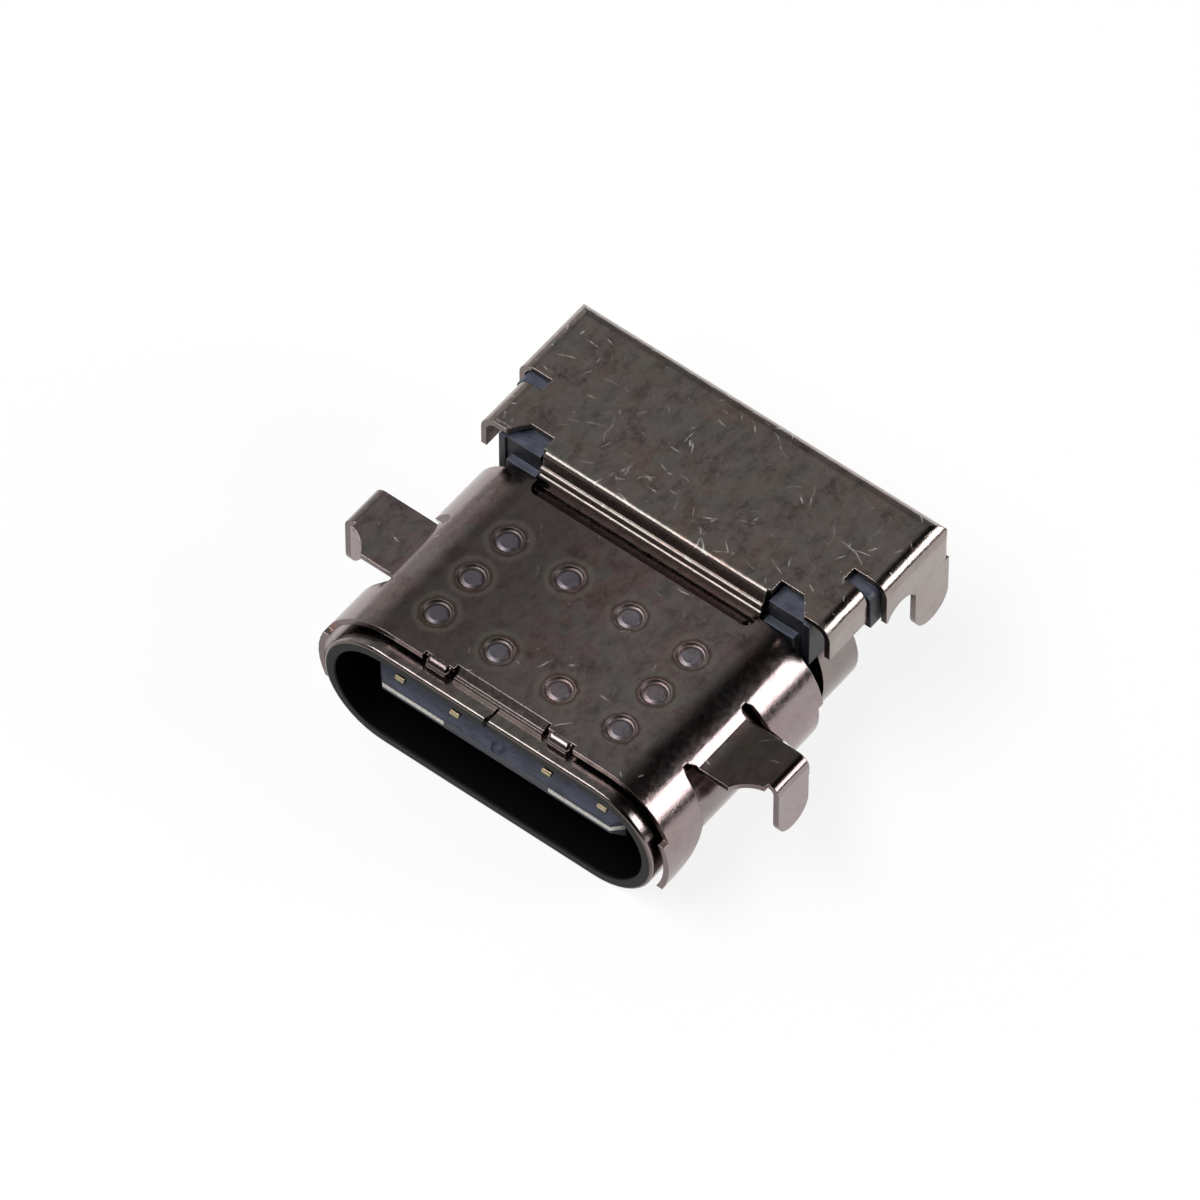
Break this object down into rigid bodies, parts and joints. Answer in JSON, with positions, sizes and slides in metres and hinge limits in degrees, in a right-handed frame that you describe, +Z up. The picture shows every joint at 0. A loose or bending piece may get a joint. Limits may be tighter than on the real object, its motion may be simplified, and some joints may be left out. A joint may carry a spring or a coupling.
{
  "type": "usb-c receptacle",
  "caption": "Sunk board-mount USB-C receptacle: oval mouth tube with a tongue, a welded outer shell with side legs and a folded rear cover.",
  "frame": {"origin": "centre of the mouth, in the plane of the mouth tube's front edge", "axes": "+X across the mouth, +Y from the mouth to the back, +Z up, away from the circuit board"},
  "size_m": [0.0118, 0.0099, 0.0042],
  "materials": {
    "tube_steel": "satin",
    "shell_steel": "satin, dark nickel plated",
    "housing_plastic": "matt",
    "tongue_plastic": "matt",
    "plate_steel": "satin",
    "contact_gold": "gold plated"
  },
  "bodies": {
    "root": {"inner_shell": "tube_steel", "outer_shell": "shell_steel", "rear_cover": "shell_steel", "housing": "housing_plastic", "upper_insert": "tongue_plastic", "lower_insert": "tongue_plastic", "mid_plate": "plate_steel", "emc_plate_top": "plate_steel", "emc_plate_bottom": "plate_steel", "contact_a1": "contact_gold", "contact_a2": "contact_gold", "contact_a3": "contact_gold", "contact_a4": "contact_gold", "contact_a5": "contact_gold", "contact_a6": "contact_gold", "contact_a7": "contact_gold", "contact_a8": "contact_gold", "contact_a9": "contact_gold", "contact_a10": "contact_gold", "contact_a11": "contact_gold", "contact_a12": "contact_gold", "contact_b1": "contact_gold", "contact_b2": "contact_gold", "contact_b3": "contact_gold", "contact_b4": "contact_gold", "contact_b5": "contact_gold", "contact_b6": "contact_gold", "contact_b7": "contact_gold", "contact_b8": "contact_gold", "contact_b9": "contact_gold", "contact_b10": "contact_gold", "contact_b11": "contact_gold", "contact_b12": "contact_gold"}
  },
  "joints": []
}
